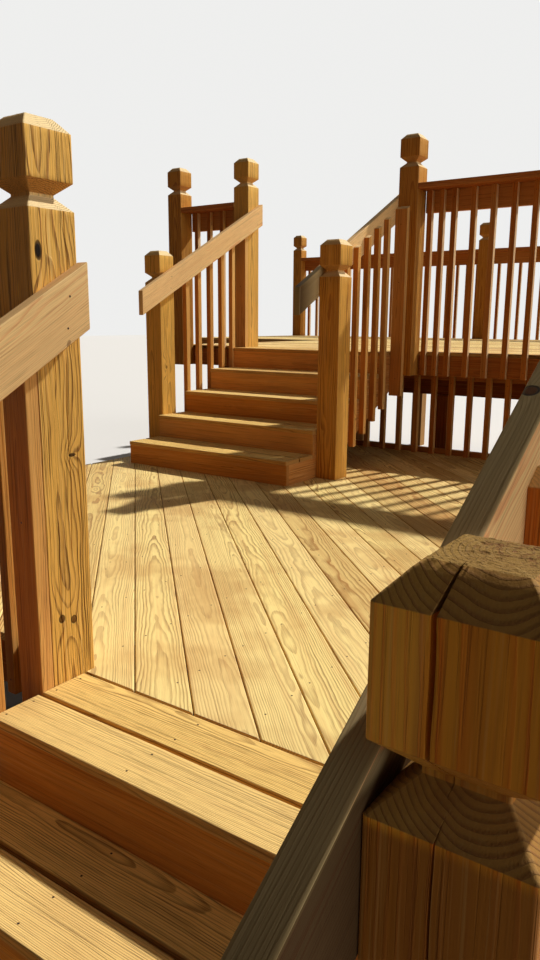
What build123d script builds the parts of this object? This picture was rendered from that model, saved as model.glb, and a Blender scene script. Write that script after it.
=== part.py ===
"""Timber deck stairs: two straight flights, a square landing laid with diagonal boards and an upper deck.

X runs across the flights, Y climbs away from the lowest step and Z is up.  All sizes are millimetres.
While the timbers are laid out, X is 0 on the middle of the lower flight, Y is 0 at the landing's nosing
and Z is 0 on the ground; the finished set is then centred over its own footprint.
"""
import os
from math import atan, ceil, cos, floor, sqrt

from build123d import *

os.makedirs("parts", exist_ok=True)

# Timber sections
board_width = 140
board_thickness = 25
board_edge_radius = 4
tread_board_gap = 12
deck_board_gap = 3
border_gap = 8
post_size = 140
joist_thickness = 38
joist_depth = 140
stringer_depth = 286
rail_thickness = 38
rail_depth = 140
picket_size = 36
upright_thickness = 38
upright_width = 89
cap_thickness = 38
cap_width = 184
nailer_size = 38
beam_thickness = 76
beam_depth = 184

# Flights
stair_width = 1270
nosing_overhang = 6
lower_riser_count = 4
lower_rise = 168
upper_riser_count = 5
upper_rise = 148.5
flight_offset = 2159
stringer_count = 4
foot_clearance = 0.3

# Landing and upper deck
upper_start = 2599
landing_right_beyond_stairs = 140
landing_left_beyond_newel = 50
landing_back_beyond_rim = 240
landing_joist_spacing = 300
diagonal_joint_offset = -353.5
least_offcut = 10
deck_joist_spacing = 400
deck_depth = 4700
left_bay_length = 550
wing_length = 1850
wing_depth = 2300
beam_set_back = 300
support_post_inset = 200
posts_under_short_beam = 3
posts_under_long_beam = 4

# Newels
newel_height = 1412
lower_bottom_newel_height = 1446
upper_top_newel_height = 1428
lower_newel_set_back = 59
upper_newel_set_back = 44
top_newel_set_back = 190
cap_block_height = 112
top_chamfer_height = 33
top_chamfer_inset = 30
groove_depth = 34
groove_neck_height = 6
groove_under_height = 28
groove_lower_height = 32

# Handrails, guards and pickets
lower_rail_top = 1084
upper_rail_top = 1096
rail_end_beyond_newel = 207
guard_height = 1111
picket_pitch = 134
flight_end_gap = 100
guard_end_gap = 30
close_picket_pitch = 86
close_picket_count = 2
first_picket_gap = 25
landing_first_picket_gap = 45
picket_top_drop = 55
picket_foot_below_stringer = 22
skirt_set_back = 100
post_spacing = 1660
landing_guard_end_gap = 100
least_ripped_board = 30

# Worked-out levels and planes
board_pitch = board_width + deck_board_gap
tread_depth = 2 * board_width + tread_board_gap
going = tread_depth - nosing_overhang
riser_thickness = board_thickness
landing_level = lower_riser_count * lower_rise
deck_level = landing_level + upper_riser_count * upper_rise
newel_back_offset = top_newel_set_back + post_size
half_width = stair_width / 2

lower_left = -half_width
lower_right = half_width
upper_left = lower_left - flight_offset
upper_right = lower_right - flight_offset

landing_front = newel_back_offset
landing_right = lower_right + landing_right_beyond_stairs
landing_left = upper_left - post_size - landing_left_beyond_newel
upper_top_nosing = upper_start + (upper_riser_count - 1) * going
deck_front = upper_top_nosing + newel_back_offset
landing_back = deck_front + landing_back_beyond_rim
deck_right = landing_right
deck_back = deck_front + deck_depth
deck_left = upper_left - 2 * post_size - left_bay_length
wing_left = deck_left - wing_length
wing_front = deck_back - wing_depth


def block(x0, x1, y0, y1, z0, z1):
    """A squared timber between two corners."""
    solid = Box(x1 - x0, y1 - y0, z1 - z0)
    return Pos((x0 + x1) / 2, (y0 + y1) / 2, (z0 + z1) / 2) * solid


def eased_board(x0, x1, y0, y1, z_top):
    """A deck board along X with its long edges eased."""
    solid = block(x0, x1, y0, y1, z_top - board_thickness, z_top)
    long_edges = solid.edges().filter_by(Axis.X)
    return fillet(long_edges, board_edge_radius)


def side_profile(points, x0, x1):
    """A flat timber cut to an outline of (y, z) points, standing between two X planes."""
    outline = Polyline([Vector(x0, y, z) for y, z in points], close=True)
    return extrude(make_face(outline), amount=x1 - x0, dir=(1, 0, 0))


def spread(start, end, end_gap):
    """Near faces of pickets at their pitch, centred in a bay with at least a gap at each end."""
    count = 1 + floor((end - start - picket_size - 2 * end_gap) / picket_pitch)
    middle = (start + end) / 2
    first = middle - (count - 1) * picket_pitch / 2 - picket_size / 2
    return [first + i * picket_pitch for i in range(count)]


def spread_from_post(start, end, first_gap, close_count=0):
    """Near faces of pickets set out from a post: a few close together, then the usual pitch."""
    places = [start + first_gap]
    for _ in range(close_count):
        places.append(places[-1] + close_picket_pitch)
    while places[-1] + picket_pitch + picket_size + guard_end_gap <= end:
        places.append(places[-1] + picket_pitch)
    return places


def spread_back_from_post(start, end, first_gap):
    """The same, set out from the post at the far end of a bay."""
    return [start + end - place - picket_size for place in spread_from_post(start, end, first_gap)]


def even_places(start, end, size, spacing):
    """Near faces of joists set evenly, the first and last flush with the ends."""
    count = ceil((end - start - size) / spacing)
    step = (end - start - size) / count
    return [start + i * step for i in range(count + 1)]


# Newels


def newel(x0, y0, z0, z1):
    """A square post whose head is sawn with a chamfered top and a V-groove on all four faces."""
    half = post_size / 2
    block_top = z1 - top_chamfer_height
    block_bottom = block_top - cap_block_height
    neck_top = block_bottom - groove_under_height
    neck_bottom = neck_top - groove_neck_height
    shaft_top = neck_bottom - groove_lower_height
    right_side = [
        (half, z0),
        (half, shaft_top),
        (half - groove_depth, neck_bottom),
        (half - groove_depth, neck_top),
        (half, block_bottom),
        (half, block_top),
        (half - top_chamfer_inset, z1),
    ]
    outline = right_side + [(-u, z) for u, z in reversed(right_side)]
    across = make_face(Polyline([Vector(u, -half, z) for u, z in outline], close=True))
    along = make_face(Polyline([Vector(-half, u, z) for u, z in outline], close=True))
    head = extrude(across, amount=post_size, dir=(0, 1, 0)) & extrude(along, amount=post_size, dir=(1, 0, 0))
    return Pos(x0 + half, y0 + half, 0) * head


# Flights


class Flight:
    """The lines that every timber of one flight is set out from."""

    def __init__(self, left, right, first_nosing, rise, riser_count, floor_level, rail_top, set_back):
        self.left = left
        self.right = right
        self.first_nosing = first_nosing
        self.rise = rise
        self.riser_count = riser_count
        self.floor_level = floor_level
        self.slope = rise / going
        self.top_nosing = first_nosing + (riser_count - 1) * going
        self.top_level = floor_level + riser_count * rise
        self.base_newel_front = first_nosing + going + set_back
        self.top_newel_front = self.top_nosing + top_newel_set_back
        self.rim_face = self.top_nosing + newel_back_offset
        self.rail_top = rail_top

    def nosing(self, step):
        return self.first_nosing + (step - 1) * going

    def level(self, step):
        return self.floor_level + step * self.rise

    def rail_height_at(self, y):
        """Level of the handrail's top edge."""
        return self.top_level + self.rail_top + (y - self.rim_face) * self.slope

    def stringer_foot_at(self, y):
        """Level of the stringer's lower edge."""
        corner_y = self.first_nosing + nosing_overhang + riser_thickness
        corner_z = self.level(1) - board_thickness
        return corner_z + (y - corner_y) * self.slope - stringer_depth / cos(atan(self.slope))


lower = Flight(lower_left, lower_right, -(lower_riser_count - 1) * going, lower_rise,
               lower_riser_count, 0, lower_rail_top, lower_newel_set_back)
upper = Flight(upper_left, upper_right, upper_start, upper_rise,
               upper_riser_count, landing_level, upper_rail_top, upper_newel_set_back)


def stringers(flight):
    """Sawtooth timbers that carry the treads and risers and lean against the rim above."""
    outline = []
    for step in range(1, flight.riser_count + 1):
        cut = flight.nosing(step) + nosing_overhang + riser_thickness
        seat = flight.level(step) - board_thickness
        below = seat - flight.rise if step > 1 else flight.floor_level + foot_clearance
        outline += [(cut, below), (cut, seat)]
    outline.append((flight.rim_face, flight.top_level - board_thickness))
    outline.append((flight.rim_face, flight.stringer_foot_at(flight.rim_face)))
    heel = flight.floor_level + foot_clearance
    first_cut = flight.nosing(1) + nosing_overhang + riser_thickness
    heel_y = first_cut + (heel - flight.stringer_foot_at(first_cut)) / flight.slope
    outline.append((heel_y, heel))
    places = even_places(flight.left, flight.right, joist_thickness,
                         (stair_width - joist_thickness) / (stringer_count - 1))
    return [side_profile(outline, x, x + joist_thickness) for x in places]


def riser_boards(flight):
    """One upright board behind each nosing, down to the seat of the step below."""
    boards = []
    for step in range(1, flight.riser_count + 1):
        face = flight.nosing(step) + nosing_overhang
        top = flight.level(step) - board_thickness
        bottom = top - flight.rise if step > 1 else flight.floor_level + foot_clearance
        boards.append(block(flight.left, flight.right, face, face + riser_thickness, bottom, top))
    return boards


def tread_boards(flight, steps):
    """Two eased boards on each step, the rear one against the riser."""
    boards = []
    for step in steps:
        for row in range(2):
            front = flight.nosing(step) + row * (board_width + tread_board_gap)
            boards.append(eased_board(flight.left, flight.right, front, front + board_width,
                                      flight.level(step)))
    return boards


def handrail(flight, x0):
    """A board on edge along one side of a flight, cut plumb at both ends."""
    foot = flight.base_newel_front - rail_end_beyond_newel
    head = flight.rim_face
    drop = rail_depth / cos(atan(flight.slope))
    outline = [
        (foot, flight.rail_height_at(foot)),
        (head, flight.rail_height_at(head)),
        (head, flight.rail_height_at(head) - drop),
        (foot, flight.rail_height_at(foot) - drop),
    ]
    return side_profile(outline, x0, x0 + rail_thickness)


def flight_picket(flight, x0, x1, y0, y1):
    """A stick outside handrail and stringer, its head cut to the rail's slope and its foot square."""
    foot = flight.stringer_foot_at(y0) - picket_foot_below_stringer
    foot = max(foot, flight.floor_level + foot_clearance)
    outline = [
        (y0, foot),
        (y0, flight.rail_height_at(y0) - picket_top_drop),
        (y1, flight.rail_height_at(y1) - picket_top_drop),
        (y1, foot),
    ]
    return side_profile(outline, x0, x1)


def flight_pickets(flight, x0):
    start = flight.base_newel_front + post_size
    end = flight.top_newel_front - upright_thickness
    return [flight_picket(flight, x0, x0 + picket_size, y, y + picket_size)
            for y in spread(start, end, flight_end_gap)]


def newel_uprights(flight):
    """The flat timber against the front face of each top newel."""
    y1 = flight.top_newel_front
    y0 = y1 - upright_thickness
    left = flight_picket(flight, flight.left - upright_width, flight.left, y0, y1)
    right = flight_picket(flight, flight.right, flight.right + upright_width, y0, y1)
    return [left, right]


# Guards


class Side:
    """One straight edge of a deck: v runs outwards from the rim's outer face, u along the edge."""

    def __init__(self, name, face, level):
        self.name = name
        self.face = face
        self.level = level

    def timber(self, u0, u1, v0, v1, z0, z1):
        if self.name == "front":
            return block(u0, u1, self.face - v1, self.face - v0, z0, z1)
        if self.name == "back":
            return block(u0, u1, self.face + v0, self.face + v1, z0, z1)
        return block(self.face + v0, self.face + v1, u0, u1, z0, z1)

    def cap(self, u0, u1):
        """The flat top board; it covers the posts, which stand outside a front rim and inside the others."""
        top = self.level + guard_height
        if self.name == "front":
            return self.timber(u0, u1, post_size - cap_width, post_size, top - cap_thickness, top)
        return self.timber(u0, u1, -post_size, cap_width - post_size, top - cap_thickness, top)

    def rail_board(self, u0, u1):
        """The board on edge under the cap, above the rim."""
        top = self.level + guard_height - cap_thickness
        return self.timber(u0, u1, -rail_thickness, 0, top - rail_depth, top)

    def pickets(self, places):
        """Sticks from the cap down over the rim to its lower edge."""
        top = self.level + guard_height - cap_thickness
        bottom = self.level - board_thickness - joist_depth
        return [self.timber(u, u + picket_size, 0, picket_size, bottom, top) for u in places]


landing_front_side = Side("front", landing_front, landing_level)
landing_right_side = Side("right", landing_right, landing_level)
deck_front_side = Side("front", deck_front, deck_level)
deck_right_side = Side("right", deck_right, deck_level)
deck_back_side = Side("back", deck_back, deck_level)

landing_guard_end = upper.top_newel_front - landing_guard_end_gap - post_size


def post_places(end, start):
    """Near faces of guard posts set out backwards from the last post, with one at the start."""
    count = floor((end - start) / post_spacing)
    places = [end - i * post_spacing for i in range(count)]
    return sorted(places + [start])


def bays(places):
    """The clear stretches between neighbouring posts."""
    return [(near + post_size, far) for near, far in zip(places, places[1:])]


landing_front_bay = (landing_left + post_size, lower_left - post_size)
landing_side_posts = post_places(landing_guard_end, landing_front - post_size)[1:]
landing_side_bays = bays([landing_front - post_size] + landing_side_posts)
deck_left_bay = (deck_left + post_size, upper_left - post_size)
deck_front_bay = (upper_right + post_size, deck_right - post_size)
deck_side_posts = post_places(deck_back - post_size, deck_front - post_size)[1:-1]
deck_side_bays = bays([deck_front - post_size] + deck_side_posts + [deck_back - post_size])
deck_back_posts = post_places(deck_right - post_size, wing_left)
deck_back_bays = bays(deck_back_posts)


# Decks


def landing_boards():
    """Boards laid at 45 degrees, trimmed to the landing and to the throat between the top newels."""
    lower_edge = landing_level - board_thickness
    front_of_border = tread_depth + border_gap
    outline = block(landing_left, landing_right, landing_front, landing_back, lower_edge, landing_level)
    throat = block(lower_left, lower_right, front_of_border, landing_front, lower_edge, landing_level)
    lean = (landing_left + landing_right - landing_front - landing_back) / 2
    strip_length = landing_right - landing_left + landing_back - landing_front
    joint_spacing = board_pitch * sqrt(2)
    first_row = floor((landing_left + landing_front - diagonal_joint_offset) / joint_spacing)
    last_row = ceil((landing_right + landing_back - diagonal_joint_offset) / joint_spacing)
    strip = Rot(0, 0, -45) * Box(strip_length, board_width, board_thickness)
    boards = []
    for row in range(first_row, last_row):
        across = diagonal_joint_offset + (row + 0.5) * joint_spacing
        middle = Pos((across + lean) / 2, (across - lean) / 2, landing_level - board_thickness / 2)
        trimmed = (middle * strip) & (outline + throat)
        boards += [piece for piece in trimmed.solids()
                   if piece.volume > board_thickness * board_width * least_offcut]
    return boards


def deck_boards():
    """Boards along X; the first is cut back beside the flight, and the wing takes the longer ones."""
    boards = []
    front = upper_top_nosing + tread_depth + border_gap
    while front + least_ripped_board <= deck_back:
        left = wing_left if front >= wing_front else deck_left
        back = min(front + board_width, deck_back)
        boards.append(eased_board(left, deck_right, front, back, deck_level))
        front += board_pitch
    lower_edge = deck_level - board_thickness
    for x0, x1 in ((deck_left, upper_left), (upper_right, deck_right)):
        boards[0] -= block(x0, x1, boards[0].bounding_box().min.Y, deck_front, lower_edge, deck_level)
    return boards


# Nodes

nodes = {}

for name, flight in (("lower", lower), ("upper", upper)):
    nodes[f"{name}_stringers"] = stringers(flight)
    nodes[f"{name}_riser_boards"] = riser_boards(flight)
    nodes[f"{name}_handrails"] = [handrail(flight, flight.left),
                                  handrail(flight, flight.right - rail_thickness)]
    nodes[f"{name}_left_pickets"] = flight_pickets(flight, flight.left - picket_size)
    nodes[f"{name}_right_pickets"] = flight_pickets(flight, flight.right)

nodes["lower_tread_boards"] = tread_boards(lower, range(1, lower_riser_count))
nodes["landing_nosing_boards"] = tread_boards(lower, [lower_riser_count])
nodes["upper_tread_boards"] = tread_boards(upper, range(1, upper_riser_count + 1))
nodes["newel_uprights"] = newel_uprights(lower) + newel_uprights(upper)

landing_rim_bottom = landing_level - board_thickness - joist_depth
deck_rim_bottom = deck_level - board_thickness - joist_depth
newel_rows = {
    "lower_{}_bottom_newel": (lower, lower.base_newel_front, 0, lower_bottom_newel_height),
    "lower_{}_top_newel": (lower, lower.top_newel_front, landing_rim_bottom, landing_level + newel_height),
    "upper_{}_bottom_newel": (upper, upper.base_newel_front, landing_level, landing_level + newel_height),
    "upper_{}_top_newel": (upper, upper.top_newel_front, deck_rim_bottom,
                           deck_level + upper_top_newel_height),
}
for pattern, (flight, front, bottom, top) in newel_rows.items():
    nodes[pattern.format("left")] = [newel(flight.left - post_size, front, bottom, top)]
    nodes[pattern.format("right")] = [newel(flight.right, front, bottom, top)]

landing_front_newel_y = landing_front - post_size
landing_top_of_posts = landing_level + newel_height
nodes["landing_guard_posts"] = [
    newel(landing_left, landing_front_newel_y, landing_rim_bottom, landing_top_of_posts),
] + [newel(landing_right - post_size, y, landing_level, landing_top_of_posts) for y in landing_side_posts]
landing_guards = [(landing_front_side, landing_front_bay)]
landing_guards += [(landing_right_side, bay) for bay in landing_side_bays]
nodes["landing_guard_caps"] = [side.cap(*bay) for side, bay in landing_guards]
nodes["landing_guard_rail_boards"] = [side.rail_board(*bay) for side, bay in landing_guards]
nodes["landing_front_pickets"] = landing_front_side.pickets(
    spread_back_from_post(*landing_front_bay, landing_first_picket_gap))
nodes["landing_right_pickets"] = [stick for bay in landing_side_bays
                                  for stick in landing_right_side.pickets(spread(*bay, guard_end_gap))]

deck_top_of_posts = deck_level + upper_top_newel_height
nodes["deck_guard_posts"] = [
    newel(deck_left, deck_front - post_size, deck_rim_bottom, deck_top_of_posts),
    newel(deck_right - post_size, deck_front - post_size, deck_rim_bottom, deck_top_of_posts),
]
nodes["deck_guard_posts"] += [newel(deck_right - post_size, y, deck_level, deck_top_of_posts)
                              for y in deck_side_posts]
nodes["deck_guard_posts"] += [newel(x, deck_back - post_size, deck_level, deck_top_of_posts)
                              for x in deck_back_posts]
deck_guards = [(deck_front_side, deck_left_bay), (deck_front_side, deck_front_bay)]
deck_guards += [(deck_right_side, bay) for bay in deck_side_bays]
deck_guards += [(deck_back_side, bay) for bay in deck_back_bays]
nodes["deck_guard_caps"] = [side.cap(*bay) for side, bay in deck_guards]
nodes["deck_guard_rail_boards"] = [side.rail_board(*bay) for side, bay in deck_guards]
nodes["deck_left_bay_pickets"] = deck_front_side.pickets(spread(*deck_left_bay, guard_end_gap))
nodes["deck_front_pickets"] = deck_front_side.pickets(
    spread_from_post(*deck_front_bay, first_picket_gap, close_picket_count))
nodes["deck_right_pickets"] = [stick for bay in deck_side_bays
                               for stick in deck_right_side.pickets(spread(*bay, guard_end_gap))]
nodes["deck_back_pickets"] = [stick for bay in deck_back_bays
                              for stick in deck_back_side.pickets(spread(*bay, guard_end_gap))]

nodes["landing_boards"] = landing_boards()
nodes["deck_boards"] = deck_boards()


def frame_joists(x0, x1, y0, y1, level, spacing):
    """Joists along Y between two rims, the outer ones flush with the frame's sides."""
    top = level - board_thickness
    return [block(x, x + joist_thickness, y0 + joist_thickness, y1 - joist_thickness, top - joist_depth, top)
            for x in even_places(x0, x1, joist_thickness, spacing)]


def rim(x0, x1, y0, level):
    top = level - board_thickness
    return block(x0, x1, y0, y0 + joist_thickness, top - joist_depth, top)


nodes["landing_rim_joists"] = [
    rim(landing_left, landing_right, landing_front, landing_level),
    rim(landing_left, landing_right, landing_back - joist_thickness, landing_level),
]
nodes["landing_joists"] = frame_joists(landing_left, landing_right, landing_front, landing_back,
                                       landing_level, landing_joist_spacing)
nodes["deck_rim_joists"] = [
    rim(deck_left, deck_right, deck_front, deck_level),
    rim(wing_left, deck_left, wing_front, deck_level),
    rim(wing_left, deck_right, deck_back - joist_thickness, deck_level),
]
wing_joists = frame_joists(wing_left, deck_left, wing_front, deck_back, deck_level, deck_joist_spacing)
nodes["deck_joists"] = frame_joists(deck_left, deck_right, deck_front, deck_back, deck_level,
                                    deck_joist_spacing) + wing_joists[:-1]


def beam_and_posts(x0, x1, y0, level, post_count):
    """A beam along X under the joists, standing on square posts spread along it."""
    top = level - board_thickness - joist_depth
    bottom = top - beam_depth
    beam = block(x0, x1, y0, y0 + beam_thickness, bottom, top)
    middle = y0 + beam_thickness / 2
    first = x0 + support_post_inset
    step = (x1 - x0 - 2 * support_post_inset - post_size) / (post_count - 1)
    posts = [block(first + i * step, first + i * step + post_size, middle - post_size / 2,
                   middle + post_size / 2, 0, bottom) for i in range(post_count)]
    return beam, posts


landing_beam_places = (landing_front + beam_set_back, landing_back - beam_set_back - beam_thickness)
long_beam_places = (wing_front + beam_set_back, deck_back - beam_set_back - beam_thickness)
frames = {
    "landing": [(landing_left, landing_right, y, landing_level, posts_under_short_beam)
                for y in landing_beam_places],
    "deck": [(deck_left, deck_right, landing_back + beam_set_back, deck_level, posts_under_short_beam)]
    + [(wing_left, deck_right, y, deck_level, posts_under_long_beam) for y in long_beam_places],
}
nodes["support_posts"] = []
for name, rows in frames.items():
    built = [beam_and_posts(*row) for row in rows]
    nodes[f"{name}_beams"] = [beam for beam, _ in built]
    nodes["support_posts"] += [post for _, posts in built for post in posts]

# Skirt of pickets between two nailers, closing the gap between the landing and the deck
skirt_front = deck_front + skirt_set_back
nailer_front = skirt_front + picket_size
nodes["skirt_nailers"] = [
    block(landing_left, landing_right, nailer_front, nailer_front + nailer_size, z, z + nailer_size)
    for z in (landing_level, deck_rim_bottom - nailer_size)
]
nodes["skirt_pickets"] = [
    block(x, x + picket_size, skirt_front, nailer_front, landing_level + foot_clearance, deck_rim_bottom)
    for x in spread(landing_left, landing_right, guard_end_gap)
]

# The whole set is centred over its footprint and written out
footprint_front = lower.base_newel_front - rail_end_beyond_newel
footprint_front = min(footprint_front, lower.first_nosing)
footprint_back = deck_back + picket_size
footprint_back = max(footprint_back, deck_back + cap_width - post_size)
footprint_right = max(landing_right, deck_right) + cap_width - post_size
centre = Pos(-(wing_left + footprint_right) / 2, -(footprint_front + footprint_back) / 2, 0)

for name, solids in nodes.items():
    shape = Compound(children=[centre * solid for solid in solids]) if len(solids) > 1 else centre * solids[0]
    export_step(shape, f"parts/{name}.step")
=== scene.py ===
"""Timber deck stairs: every stick and board dressed as sawn pine around the fixed frame.

Metres throughout, in the frame's own axes.  Each timber is a ruled or carried surface worked out with
numpy from the corners of its solid in the frame.  Four attributes go with every timber: "log" places each
point beside the pith of the tree it was sawn from, "stick" holds its own tone, which on some pieces carries
painted light and shade, "cut" marks sawn ends and "worn" marks arrises.
"""

import math

import bpy
import numpy as np
from mathutils import Matrix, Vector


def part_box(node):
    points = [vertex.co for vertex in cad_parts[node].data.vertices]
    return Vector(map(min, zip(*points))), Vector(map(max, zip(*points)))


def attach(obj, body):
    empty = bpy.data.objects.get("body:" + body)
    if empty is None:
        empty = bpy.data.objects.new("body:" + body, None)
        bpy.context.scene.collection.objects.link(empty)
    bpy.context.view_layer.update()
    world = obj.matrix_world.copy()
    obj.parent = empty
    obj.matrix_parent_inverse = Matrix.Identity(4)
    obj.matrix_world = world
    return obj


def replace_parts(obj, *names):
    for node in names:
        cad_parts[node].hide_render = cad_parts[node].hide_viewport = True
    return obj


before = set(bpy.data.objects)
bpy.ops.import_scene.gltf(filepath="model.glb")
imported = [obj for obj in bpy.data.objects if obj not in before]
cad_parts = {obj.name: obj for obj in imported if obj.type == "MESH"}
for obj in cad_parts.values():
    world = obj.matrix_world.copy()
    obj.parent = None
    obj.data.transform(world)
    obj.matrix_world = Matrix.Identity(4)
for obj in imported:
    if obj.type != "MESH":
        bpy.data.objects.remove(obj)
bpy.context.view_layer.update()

SEED = 7757

# Camera, as fitted to the photograph
CAMERA_PLACE = (3.207, -4.9696, 1.6151)
CAMERA_YAW = 35.0282
CAMERA_PITCH = 11.8164
CAMERA_ROLL = -0.3783
FOCAL_PIXELS = 757.2
FRAME_PIXELS = 960
SENSOR = 36.0
NEAR_CLIP = 0.02

# Light
LAMPS = {"key": dict(azimuth=72.9, elevation=43.8, strength=4.1, softness=1.6),
         "fill": dict(azimuth=4.0, elevation=6.0, strength=1.5, softness=50.0)}
SKY_STRENGTH = 0.05
FLOOR_HALF = 60.0
LAMP_COLOUR = (1.0, 0.97, 0.92)
SKY_COLOUR = (1.0, 0.82, 0.62, 1)
SURROUND_COLOUR = (0.86, 0.86, 0.85, 1)
FLOOR_COLOUR = (0.80, 0.79, 0.77, 1)
DIM_FLOOR_COLOUR = (0.12, 0.10, 0.07, 1)
# Floor and surround look pale to these rays and stay dim for the light that they throw back
PALE_RAYS = ("Is Camera Ray", "Is Glossy Ray", "Is Transmission Ray")

# Timber dressing
POST = 0.140
BOARD_ARRIS = 0.0045
STICK_ARRIS = 0.0025
POST_ARRIS = 0.004
CAP_ARRIS = 0.004
RAIL_ARRIS = 0.0035
END_ARRIS = 0.0015
ARC_STEPS = 4
SUPPORT = 0.0015
CORNER_GAP = 0.0002
TIMBER_CREASE = 38
PICKET_BOW = 0.0015

# Newel heads, measured down from the top
TOP_CHAMFER_HEIGHT = 0.033
TOP_CHAMFER_INSET = 0.030
BLOCK_HEIGHT = 0.112
UNDER_HEIGHT = 0.028
NECK_HEIGHT = 0.006
LOWER_HEIGHT = 0.032
GROOVE_DEPTH = 0.034
RAGGED_WAVES = (0.017, 0.013, 0.0105, 0.0085, 0.007, 0.006, 0.005, 0.0045)
HEAD_HEIGHT = TOP_CHAMFER_HEIGHT + BLOCK_HEIGHT + UNDER_HEIGHT + NECK_HEIGHT + LOWER_HEIGHT

# Steps between stations up a newel; those nearer the camera are finer
PLAIN_STEP = 0.05
NEAR_STEP = 0.012
PLAIN_HEAD_STEP = 0.03
NEAR_TOP_STEP = 0.0022

X_AXIS = np.array([1.0, 0.0, 0.0])
Y_AXIS = np.array([0.0, 1.0, 0.0])
Z_AXIS = np.array([0.0, 0.0, 1.0])
DIAGONAL = np.array([1.0, -1.0, 0.0]) / math.sqrt(2)
DIAGONAL_ACROSS = np.array([1.0, 1.0, 0.0]) / math.sqrt(2)


# Reading the solids of the frame


def extents(points):
    """Lowest and highest corner of a set of points."""
    return points.min(axis=0), points.max(axis=0)


def solid_parts(node):
    """Each solid of a CAD node as (corner points, triangles).

    Triangles belong to one solid when they share an edge that no third triangle has, so that timbers which
    only touch stay apart; the lowest label spreads over the shared edges until nothing changes."""
    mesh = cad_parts[node].data
    points = np.zeros(len(mesh.vertices) * 3)
    mesh.vertices.foreach_get("co", points)
    mesh.calc_loop_triangles()
    triangles = np.zeros(len(mesh.loop_triangles) * 3, int)
    mesh.loop_triangles.foreach_get("vertices", triangles)
    corners, place = np.unique(points.reshape(-1, 3).round(5), axis=0, return_inverse=True)
    triangles = place.ravel()[triangles].reshape(-1, 3)
    edges = np.sort(np.stack([triangles[:, [0, 1, 2]].ravel(), triangles[:, [1, 2, 0]].ravel()], 1), axis=1)
    edge, users = np.unique(edges, axis=0, return_inverse=True, return_counts=True)[1:]
    order = np.argsort(edge.ravel(), kind="stable")
    shared = order[np.repeat(users == 2, users)].reshape(-1, 2) // 3
    label = np.arange(len(triangles))
    while True:
        spread = label.copy()
        lowest = label[shared].min(axis=1)
        np.minimum.at(spread, shared[:, 0], lowest)
        np.minimum.at(spread, shared[:, 1], lowest)
        if (spread == label).all():
            break
        label = spread
    parts = []
    for name in np.unique(label):
        used, local = np.unique(triangles[label == name], return_inverse=True)
        parts.append((corners[used], local.reshape(-1, 3)))
    return parts


def stick_corners(points, axes):
    """The eight corners of a stick as [end, first side, second side], sorted along its three axes."""
    if len(points) != 8:
        low, high = extents(points)
        points = np.array([[(low, high)[i][0], (low, high)[j][1], (low, high)[k][2]]
                           for i in (0, 1) for j in (0, 1) for k in (0, 1)])
    order = points[np.argsort(points @ axes[0], kind="stable")]
    ends = []
    for end in (order[:4], order[4:]):
        rows = end[np.argsort(end @ axes[1], kind="stable")]
        ends.append([row[np.argsort(row @ axes[2], kind="stable")] for row in (rows[:2], rows[2:])])
    return np.array(ends)


def reach_at(points, triangles, along, across, at):
    """Lowest and highest reach of a solid along one axis at each place across it, read off its edges."""
    away, reach = points @ across, points @ along
    start = triangles[:, [0, 1, 2]].ravel()
    stop = triangles[:, [1, 2, 0]].ravel()
    away0, away1, reach0, reach1 = away[start], away[stop], reach[start], reach[stop]
    at = at[:, None]
    slanted = np.abs(away1 - away0) > 1e-6
    inside = (np.minimum(away0, away1) <= at) & (at <= np.maximum(away0, away1)) & slanted
    share = np.where(inside, (at - away0) / np.where(slanted, away1 - away0, 1), 0)
    reach = reach0 + share * (reach1 - reach0)
    return np.where(inside, reach, np.inf).min(axis=1), np.where(inside, reach, -np.inf).max(axis=1)


# Outlines and stations


def squared_outline(width, depth, radius, wide=(), deep=()):
    """Closed outline of a squared timber with rounded arrises: quarter arcs joined by straight sides.

    Each side has a support point just past its arcs, and further points at the given places along the
    width or the depth, measured from the middle.  Returns the points and a mask that is 1 on the arcs."""
    angle = np.linspace(0, math.pi / 2, ARC_STEPS + 1)
    half_width, half_depth = width / 2 - radius, depth / 2 - radius
    wide = np.array([-half_width + SUPPORT, *wide, half_width - SUPPORT])
    deep = np.array([-half_depth + SUPPORT, *deep, half_depth - SUPPORT])
    edge_x, edge_y = np.full(len(deep), width / 2), np.full(len(wide), depth / 2)
    corners = ((half_width, -half_depth, 1.5), (half_width, half_depth, 0.0),
               (-half_width, half_depth, 0.5), (-half_width, -half_depth, 1.0))
    sides = (np.stack([edge_x, deep], 1), np.stack([wide[::-1], edge_y], 1),
             np.stack([-edge_x, deep[::-1]], 1), np.stack([wide, -edge_y], 1))
    points, worn = [], []
    for (x, y, turn), side in zip(corners, sides):
        swing = turn * math.pi + angle
        points += [np.stack([x + radius * np.cos(swing), y + radius * np.sin(swing)], 1), side]
        worn += [np.ones(len(swing)), np.zeros(len(side))]
    return np.concatenate(points), np.concatenate(worn)


def eased_ends(inner):
    """Stations of a timber: shares of its length, offsets from them, draw-in of the outline, end mask."""
    lead = np.array([0, 0.3, 1, 1]) * END_ARRIS + np.array([0, 0, 0, SUPPORT])
    draw_in = np.array([1, 0.3, 0, 0]) * END_ARRIS
    sawn = np.array([1, 1, 0.5, 0])
    middle = np.linspace(0, 1, inner + 2)[1:-1]
    plain = np.zeros(inner)
    return (np.concatenate([np.zeros(4), middle, np.ones(4)]), np.concatenate([lead, plain, -lead[::-1]]),
            np.concatenate([draw_in, plain, draw_in[::-1]]), np.concatenate([sawn, plain, sawn[::-1]]))


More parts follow.
